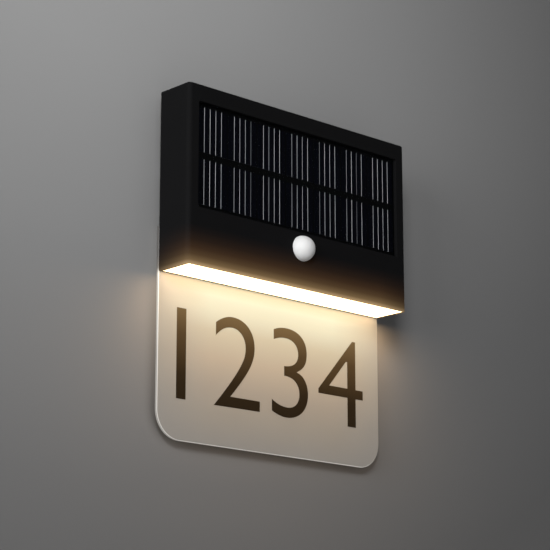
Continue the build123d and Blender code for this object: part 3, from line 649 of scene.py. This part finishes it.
def baked(name, group, base, values):
    """The plain mesh that a tree makes from a base mesh and values for its named inputs."""
    carrier = in_scene(name + "_carrier", base)
    modifier = carrier.modifiers.new(name, "NODES")
    modifier.node_group = group
    for item in group.interface.items_tree:
        if item.item_type == "SOCKET" and item.in_out == "INPUT" and item.name in values:
            modifier[item.identifier] = values[item.name]
    mesh = evaluated_mesh(carrier)
    mesh.name = name
    carrier.modifiers.remove(modifier)
    bpy.data.objects.remove(carrier)
    return mesh


def fastener_tree():
    """One screw on each point of a mesh, each turned by its own amount about its axis."""
    group, given, result = node_group("fasteners", [
        ("Screw", "NodeSocketObject"),
        ("Seed", "NodeSocketInt"),
        ("Material", "NodeSocketMaterial"),
    ])
    points = added(group, "GeometryNodeMeshToPoints", {"Mesh": given.outputs["Geometry"]})
    screw = added(group, "GeometryNodeObjectInfo", {"Object": given.outputs["Screw"]})
    limits = {"Min": (0, 0, 0), "Max": (0, math.tau, 0), "Seed": given.outputs["Seed"]}
    turn = added(group, "FunctionNodeRandomValue", limits, data_type="FLOAT_VECTOR")
    spread = added(group, "GeometryNodeInstanceOnPoints", {
        "Points": points.outputs["Points"],
        "Instance": screw.outputs["Geometry"],
        "Rotation": turn.outputs["Value"],
    })
    ending(group, spread.outputs["Instances"], given, result)
    return group


def finger_tree():
    """Parallel silver fingers: a few to each cell, over columns and rows of cells."""
    group, given, result = node_group("cell_fingers", [
        ("Columns", "NodeSocketInt"),
        ("Rows", "NodeSocketInt"),
        ("Fingers", "NodeSocketInt"),
        ("Cell Pitch", "NodeSocketFloat"),
        ("Row Pitch", "NodeSocketFloat"),
        ("Finger Pitch", "NodeSocketFloat"),
        ("Finger Size", "NodeSocketVector"),
        ("Material", "NodeSocketMaterial"),
    ])

    def span(count, pitch):
        """The length of a row of points: one pitch fewer than there are points."""
        gaps = added(group, "ShaderNodeMath", {0: given.outputs[count], 1: 1.0}, operation="SUBTRACT")
        inputs = {0: gaps.outputs[0], 1: given.outputs[pitch]}
        return added(group, "ShaderNodeMath", inputs, operation="MULTIPLY").outputs[0]

    cells = added(group, "GeometryNodeMeshGrid", {
        "Size X": span("Columns", "Cell Pitch"),
        "Size Y": span("Rows", "Row Pitch"),
        "Vertices X": given.outputs["Columns"],
        "Vertices Y": given.outputs["Rows"],
    })
    # A grid needs two rows of points, so the row of fingers is a flat grid with its rows merged.
    row = added(group, "GeometryNodeMeshGrid", {
        "Size X": span("Fingers", "Finger Pitch"),
        "Size Y": 0.0,
        "Vertices X": given.outputs["Fingers"],
        "Vertices Y": 2,
    })
    merged = added(group, "GeometryNodeMergeByDistance", {"Geometry": row.outputs["Mesh"]})
    finger = added(group, "GeometryNodeMeshCube", {"Size": given.outputs["Finger Size"]})
    fingers = added(group, "GeometryNodeInstanceOnPoints", {
        "Points": merged.outputs["Geometry"],
        "Instance": finger.outputs["Mesh"],
    })
    spread = added(group, "GeometryNodeInstanceOnPoints", {
        "Points": cells.outputs["Mesh"],
        "Instance": fingers.outputs["Instances"],
    })
    ending(group, spread.outputs["Instances"], given, result)
    return group


# ---------------------------------------------------------------- screws with crossed heads


def screw_profile():
    """Half of a pan-head tapping screw, from its tip to its head's top, as (radius, height)."""
    profile = [(0.0, screw_length), (screw_core_radius, screw_length - screw_thread_pitch)]
    for turn in range(int(screw_length / screw_thread_pitch) - 1, 0, -1):
        crest = (turn - 0.5) * screw_thread_pitch
        profile += [
            (screw_core_radius, crest + screw_thread_pitch / 4),
            (screw_thread_radius, crest),
            (screw_core_radius, crest - screw_thread_pitch / 4),
        ]
    profile += [
        (screw_core_radius, 0.0),
        (screw_head_radius, 0.0),
        (screw_head_radius, -screw_rim_share * screw_head_height),
    ]
    for step in range(1, screw_crown_steps):
        angle = math.radians(90 * step / screw_crown_steps)
        profile.append((
            screw_head_radius - screw_inset_share * screw_head_radius * (1 - math.cos(angle)),
            -screw_head_height * (screw_rim_share + screw_crown_share * math.sin(angle)),
        ))
    profile += [(screw_flat_share * screw_head_radius, -screw_head_height), (0.0, -screw_head_height)]
    return profile


def screw_object():
    """A screw with its seat at the origin and its tip toward -Y: a ribbed core, a cross recess."""
    mesh = revolved("screw", screw_profile(), screw_turn_steps)
    reach, half = screw_recess_reach, screw_recess_width / 2
    low, high = -2 * screw_head_height, -screw_head_height + screw_recess_depth
    for across, along in ((reach, half), (half, reach)):
        bar = block("cutter", Vector((-across, -along, low)), Vector((across, along, high)))
        cutter = in_scene("cutter", bar)
        mesh = modified_mesh(mesh, "BOOLEAN", operation="DIFFERENCE", object=cutter, solver="EXACT")
        bpy.data.objects.remove(cutter)
    return in_scene("screw", smooth_by_angle(placed(cleaned(mesh), upright), 35))


def points_mesh(name, places):
    mesh = bpy.data.meshes.new(name)
    mesh.from_pydata(places, [], [])
    return mesh


def crossed_screws():
    """Screws on the rear cover's and the plate's seats, in place of the frame's plain ones."""
    cover_screw_x = housing_high.x - cover_screw_inset
    cover_seats = [
        (side * cover_screw_x, housing_high.y, housing_low.z + rise)
        for rise in cover_screw_rises
        for side in (-1, 1)
    ]
    plate_seats = [
        (side * x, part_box("plate_washers")[1][1], housing_low.z + plate_screw_rise)
        for x in plate_screw_xs
        for side in (-1, 1)
    ]
    screw = screw_object()
    fasteners = fastener_tree()
    for name, seats, seed in (("cover_screws", cover_seats, 3), ("plate_screws", plate_seats, 8)):
        mesh = baked(name, fasteners, points_mesh(name, seats), {
            "Screw": screw,
            "Seed": seed,
            "Material": materials["screw_steel"],
        })
        new_piece(name + "_crossed", mesh, "screw_steel", replaced=[name])
    bpy.data.objects.remove(screw)


# ---------------------------------------------------------------- solar panel's face


def panel_fingers():
    """Silver fingers on the cells' front, over columns and rows of cells."""
    low, high = (Vector(corner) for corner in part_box("cell_fingers"))
    mesh = baked("panel_fingers", finger_tree(), points_mesh("panel", []), {
        "Columns": finger_columns,
        "Rows": finger_rows,
        "Fingers": fingers_per_cell,
        "Cell Pitch": cell_pitch,
        "Row Pitch": cell_row_length + cell_row_gap,
        "Finger Pitch": finger_pitch,
        "Finger Size": (finger_width, cell_row_length, finger_thickness),
        "Material": materials["silver_ribbon"],
    })
    depth = low.y + finger_thickness / 2 - finger_lift
    centre = Matrix.Translation(((low.x + high.x) / 2, depth, (low.z + high.z) / 2))
    new_piece("panel_fingers", placed(mesh, centre @ upright), "silver_ribbon", replaced=["cell_fingers"])


def laminate_sheet():
    """The clear sheet, with a soft edge."""
    low, high = (Vector(corner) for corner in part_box("solar_laminate"))
    high.y -= laminate_clearance
    sheet = block("laminate_sheet", low, high)
    mesh = modified_mesh(sheet, "BEVEL", width=laminate_edge, segments=laminate_edge_steps)
    new_piece("laminate_sheet", smooth_by_angle(mesh, 40), "clear_laminate", replaced=["solar_laminate"])


# ---------------------------------------------------------------- sensor's dome


def sensor_dome():
    """A smooth milky dome with a flange, flat above and below, behind the housing's front wall."""
    low, high = (Vector(corner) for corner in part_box("sensor_lens"))
    radius = housing_low.y - low.y
    inner = radius - lens_thickness
    flange_radius = (high.x - low.x) / 2
    quarter = [math.radians(90) * step / dome_arc_steps for step in range(dome_arc_steps + 1)]
    profile = [(radius * math.sin(angle), radius * math.cos(angle)) for angle in quarter]
    profile += [
        (radius, -housing_wall),
        (flange_radius, -housing_wall),
        (flange_radius, -housing_wall - lens_flange_thickness),
        (inner, -housing_wall - lens_flange_thickness),
    ]
    profile += [(inner * math.sin(angle), inner * math.cos(angle)) for angle in reversed(quarter)]

    def flatten_flange(shape):
        for corner in shape.verts:
            if corner.co.z < -housing_wall / 2:
                corner.co.y = max(-lens_flange_half_height, min(lens_flange_half_height, corner.co.y))

    mesh = reshaped(revolved("sensor_dome", profile, dome_turn_steps), flatten_flange)
    centre = Matrix.Translation((0, housing_low.y, (low.z + high.z) / 2))
    placed(mesh, centre @ upright)
    new_piece("sensor_dome", smooth_by_angle(mesh, 35), "lens_white", replaced=["sensor_lens"])


# ---------------------------------------------------------------- the number on the plate


def house_number():
    """Plain upright digits cut from vinyl, on the plate's front face.

    The record has no slot for the vinyl.
    """
    text = bpy.data.curves.new("house_number", "FONT")
    text.body = digit_text
    text.align_x = "CENTER"
    text.resolution_u = letter_curve_steps
    text.offset = letter_outset
    helper = in_scene("house_number_text", text)
    mesh = evaluated_mesh(helper)
    bpy.data.objects.remove(helper)

    xs = [corner.co.x for corner in mesh.vertices]
    ys = [corner.co.y for corner in mesh.vertices]
    scale_x = digit_row_width / (max(xs) - min(xs))
    scale_y = digit_height / (max(ys) - min(ys))
    centred = Matrix.Translation((-(max(xs) + min(xs)) / 2, -min(ys), 0))
    sized = Matrix.Diagonal((scale_x, scale_y, 1, 1))
    foot = housing_low.z - digit_drop - digit_height
    on_plate = Matrix.Translation((0, plate_low.y - digit_thickness / 2, foot))
    cleaned(placed(mesh, on_plate @ upright @ sized @ centred))
    mesh = cleaned(modified_mesh(mesh, "SOLIDIFY", thickness=digit_thickness, offset=0))
    new_piece("house_number", smooth_by_angle(mesh, 30), "digit_vinyl")


crossed_screws()
panel_fingers()
laminate_sheet()
sensor_dome()
house_number()

# ---------------------------------------------------------------- stage, light and camera

floor_half_width = 20.0
floor_squares = 8
floor_height = -1.3

wall_half_width = 2.0
wall_squares = 4
wall_centre_height = 0.6
wall_gap = 0.3 * mm

# The wall's colour holds a painted pool of light: it is brightest at one place, up and to the left of the
# sign, and is at its darkest from the fade's reach on. A distance upwards or downwards counts for more
# than one sideways.
brightest_x = -0.12
brightest_z = 0.12
upright_rate = 1.3
fade_reach = 0.55
painted_light_stops = (
    (0.0, 0.392),
    (0.1, 0.382),
    (0.2, 0.368),
    (0.3, 0.337),
    (0.45, 0.29),
    (0.6, 0.235),
    (0.8, 0.173),
    (1.0, 0.133),
)
# How far the wall's painted contact shade reaches from the sign.
painted_shade_reach = 26 * mm

spill_power = 0.185
spill_colour = (1.0, 0.66, 0.36)
spill_x = 6 * mm
spill_drop = 0.2 * mm

lamp_target = Vector((0, 0, -0.05))
studio_lamps = (
    # name, place, diameter, power
    ("key", (-1.1, -1.2, 0.55), 0.6, 16.0),
    ("left_fill", (-1.6, -0.4, 0.1), 1.0, 18.0),
    ("rear", (0.9, 1.4, 0.9), 1.0, 30.0),
)
surround = (0.14, 0.14, 0.142)

camera_place = (-0.77668, -0.84571, -0.37253)
camera_yaw = math.radians(42.814)
camera_pitch = math.radians(13.592)
camera_sensor_width = 36.0
camera_focal_length = 127.11
camera_shift = 0.05


def stage_sheet(name, squares, half_width, matrix, finish):
    """A flat square of the stage."""

    def spread(shape):
        bmesh.ops.create_grid(shape, x_segments=squares, y_segments=squares, size=half_width)

    mesh = placed(made(name, spread), matrix)
    mesh.materials.append(finish.material)
    return in_scene(name, mesh)


def stage_floor():
    finish = Finish("studio_floor", 0.8)
    finish.coloured(finish.noise(2.0), (0.62, 0.62, 0.62), (0.66, 0.66, 0.66))
    matrix = Matrix.Translation((0, 0, floor_height))
    floor = stage_sheet("studio_floor", floor_squares, floor_half_width, matrix, finish)


def wall_paint():
    """Matt paint with a painted pool of light that darkens away from one place, and painted shade behind
    the sign, more the lower it lies.
    """
    finish = Finish("studio_wall", 0.9, specular=0.1)
    # Painted light: the wall's grey falls off with distance from one bright place.
    away = finish.node("ShaderNodeMapping", {
        "Vector": finish.place,
        "Location": (-brightest_x, 0, -brightest_z * upright_rate),
        "Scale": (1.0, 0.0, upright_rate),
    })
    distance = finish.node("ShaderNodeVectorMath", {0: away.outputs["Vector"]}, operation="LENGTH")
    faded = finish.ranged(distance.outputs["Value"], 0.0, fade_reach)
    painted_light_greys = finish.ramp(faded, [(place, (grey, grey, grey)) for place, grey in painted_light_stops])
    clouds = finish.ranged(finish.noise(3.0), 0.0, 1.0, 0.0, 0.06)
    paint = finish.mixed(clouds, painted_light_greys, (0.3, 0.3, 0.3))
    # Painted shade: the wall's colour darkens where the sign is near it, more the lower it lies.
    painted_shade_occlusion = finish.node("ShaderNodeAmbientOcclusion", {"Distance": painted_shade_reach}, samples=8)
    depth = finish.ranged(finish.along("Z"), housing_low.z, plate_low.z, 0.2, 1.0)
    shade = finish.math("POWER", finish.ranged(painted_shade_occlusion.outputs["AO"], 0.3, 0.85, 0.42, 1.0), depth)
    finish.coloured(shade, black, paint)
    return finish


def seen_from_front_only(finish):
    """The surface shows to the camera from its front and lets everything else through."""
    ray = finish.node("ShaderNodeLightPath")
    side = finish.node("ShaderNodeNewGeometry")
    seen = finish.math("MAXIMUM", ray.outputs["Is Camera Ray"], ray.outputs["Is Transmission Ray"])
    front = finish.math("SUBTRACT", 1.0, side.outputs["Backfacing"])
    clear = finish.node("ShaderNodeBsdfTransparent")
    shown = finish.node("ShaderNodeMixShader", {
        "Fac": finish.math("MULTIPLY", seen, front),
        1: clear.outputs["BSDF"],
        2: finish.surface.outputs["BSDF"],
    })
    output = finish.tree.nodes["Material Output"]
    fill(finish.tree, output.inputs["Surface"], shown.outputs["Shader"])
    return finish


def stage_wall():
    """The plain wall behind the sign. Only its front shows, and it blocks no light."""
    finish = seen_from_front_only(wall_paint())
    matrix = Matrix.Translation((0, wall_gap, wall_centre_height)) @ upright
    wall = stage_sheet("studio_wall", wall_squares, wall_half_width, matrix, finish)
    return wall


def studio_world():
    """An even, dim grey surround."""
    world = bpy.data.worlds.new("studio")
    bpy.context.scene.world = world
    world.use_nodes = True
    background = world.node_tree.nodes["Background"]
    fill(world.node_tree, background.inputs["Color"], surround)
    fill(world.node_tree, background.inputs["Strength"], 1.0)


def area_lamp(name, shape, size, power, colour=(1.0, 1.0, 1.0)):
    lamp = bpy.data.lights.new(name, "AREA")
    lamp.shape = shape
    lamp.size = size
    lamp.energy = power
    lamp.color = colour
    return in_scene(name, lamp)


def soft_lamps():
    """Round white lamps that all point at the sign."""
    for name, place, diameter, power in studio_lamps:
        holder = area_lamp(name, "DISK", diameter, power)
        holder.location = place
        holder.rotation_euler = (lamp_target - Vector(place)).to_track_quat("-Z", "Y").to_euler()


def light_spill(wall):
    """The strip's light beyond the plate's sides: a lamp under the diffuser, for the wall alone."""
    low, high = (Vector(corner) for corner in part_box("light_diffuser"))
    holder = area_lamp("light_spill", "RECTANGLE", high.x - low.x, spill_power, spill_colour)
    holder.data.size_y = high.y - low.y
    holder.location = (spill_x, (low.y + high.y) / 2, housing_low.z - spill_drop)
    lit = bpy.data.collections.new("lit_by_spill")
    lit.objects.link(wall)
    holder.light_linking.receiver_collection = lit
    holder.light_linking.blocker_collection = lit


def photo_camera():
    """The photograph's view: from below the sign and to its left."""
    lens = bpy.data.cameras.new("camera")
    lens.sensor_width = camera_sensor_width
    lens.lens = camera_focal_length
    lens.shift_y = camera_shift
    holder = in_scene("camera", lens)
    holder.location = camera_place
    holder.rotation_euler = Euler((math.radians(90) + camera_pitch, 0, -camera_yaw), "XYZ")
    bpy.context.scene.camera = holder


stage_floor()
wall = stage_wall()
studio_world()
soft_lamps()
light_spill(wall)
photo_camera()

bpy.context.scene.view_settings.view_transform = "Standard"
